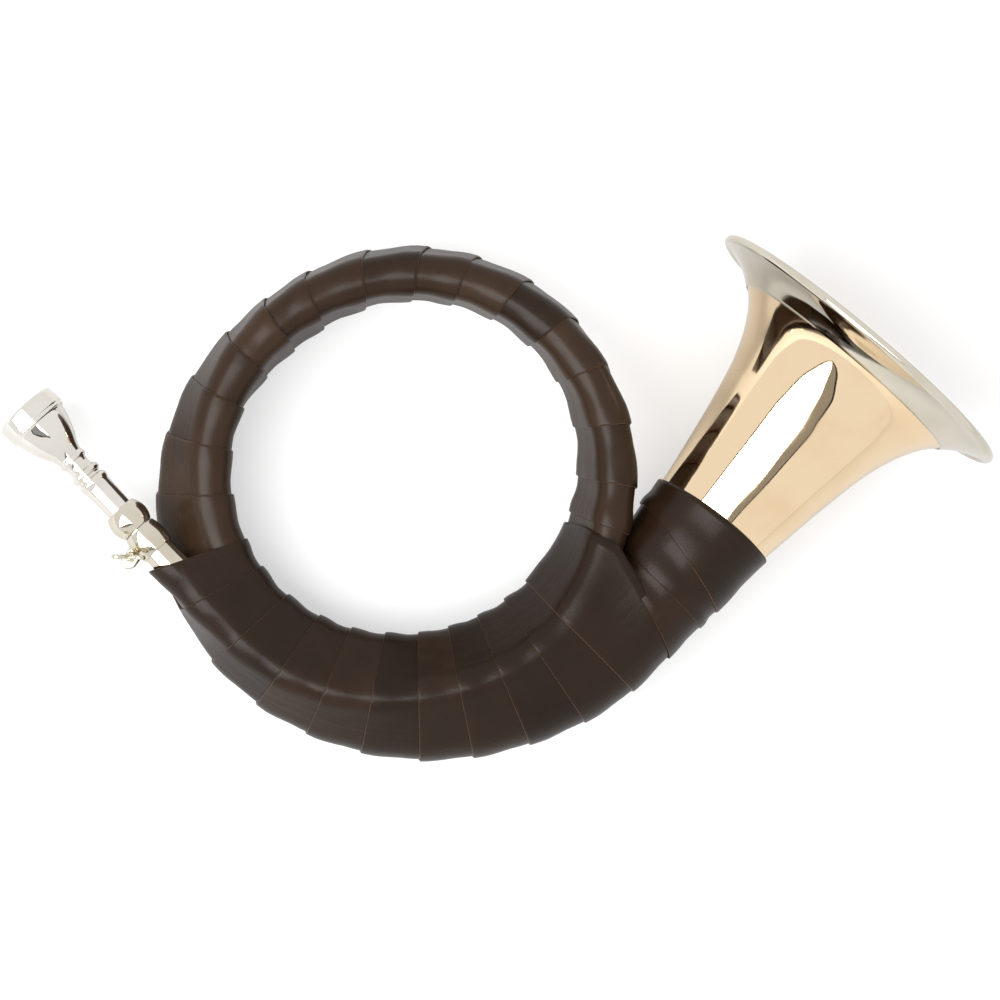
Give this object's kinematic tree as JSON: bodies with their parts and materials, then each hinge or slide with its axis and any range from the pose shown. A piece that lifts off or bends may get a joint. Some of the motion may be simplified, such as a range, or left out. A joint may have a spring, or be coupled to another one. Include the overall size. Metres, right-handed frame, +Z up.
{
  "type": "hunting horn",
  "caption": "Round leather-wrapped brass hunting horn with a flared bell, a mouthpiece and a tuning slide held by a wing screw",
  "frame": {"origin": "middle of the bounding box, on the table the horn lies on", "axes": "+Z up from the table, +X the way the bell points seen from above, +Y towards the mouthpiece side; the horn lies on its bell rim and the back of its ring"},
  "size_m": [0.268, 0.3026, 0.1339],
  "materials": {
    "gold_brass": "polished and lacquered",
    "nickel_silver": "polished nickel silver, a copper, nickel and zinc alloy",
    "silver_plate": "polished silver plate on brass",
    "brown_leather": "smooth dark brown leather, slightly glossy"
  },
  "bodies": {
    "horn": {"base_wrap": "brown_leather", "bell": "gold_brass", "bell_branch": "gold_brass", "bell_cuff": "brown_leather", "bell_garland": "nickel_silver", "branch_ferrule": "nickel_silver", "clamp_collar": "nickel_silver", "lead_branch": "gold_brass", "lead_ferrule": "nickel_silver", "middle_branch": "gold_brass", "outer_slide": "gold_brass", "rim_wire": "silver_plate", "ring_wrap": "brown_leather"},
    "tuning_slide": {"inner_slide": "silver_plate", "receiver_ball": "nickel_silver"},
    "mouthpiece": {"mouthpiece": "silver_plate"},
    "wing_screw": {"wing_screw": "nickel_silver"}
  },
  "joints": [
    {"name": "tuning_slide_pull", "type": "slide", "parent": "horn", "child": "tuning_slide", "axis": [0.1198, 0.9894, -0.0816], "range_m": [0, 0.024]},
    {"name": "mouthpiece_pull", "type": "slide", "parent": "tuning_slide", "child": "mouthpiece", "axis": [0.1198, 0.9894, -0.0816], "range_m": [0, 0.03]},
    {"name": "clamp_screw_turn", "type": "hinge", "parent": "horn", "child": "wing_screw", "pos_m": [-0.12235, 0.08111, 0.02797], "axis": [-0.1662, 0.101, 0.9809], "range_deg": [0, 180]}
  ]
}
